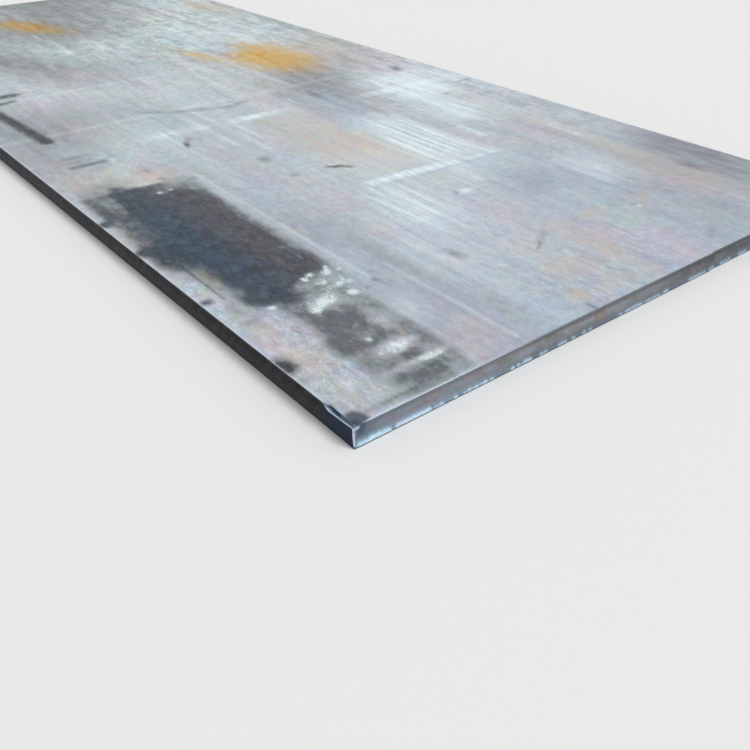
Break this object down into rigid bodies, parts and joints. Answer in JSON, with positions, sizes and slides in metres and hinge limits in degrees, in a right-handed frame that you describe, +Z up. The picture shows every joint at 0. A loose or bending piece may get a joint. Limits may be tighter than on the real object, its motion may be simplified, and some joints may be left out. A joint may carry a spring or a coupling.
{
  "type": "steel plate",
  "caption": "Heavy hot-rolled steel plate, flame-cut to a rectangle and lying flat: raw stock for cutting, machining and welding, with mill scale, stains and light rust.",
  "frame": {"origin": "centre of the underside, on the surface that the plate rests on", "axes": "+Z up out of the top face, +Y along the rolled length away from the front cut end, +X across the width to the right of the front cut end"},
  "size_m": [2.5, 6.006, 0.07],
  "materials": {
    "mill_scale_steel": "hot-rolled mill scale, pale blue-grey with rolling streaks, dark wet-looking stains, an orange rust bloom and dark flame-cut sides"
  },
  "bodies": {
    "root": {"steel_plate": "mill_scale_steel"}
  },
  "joints": []
}
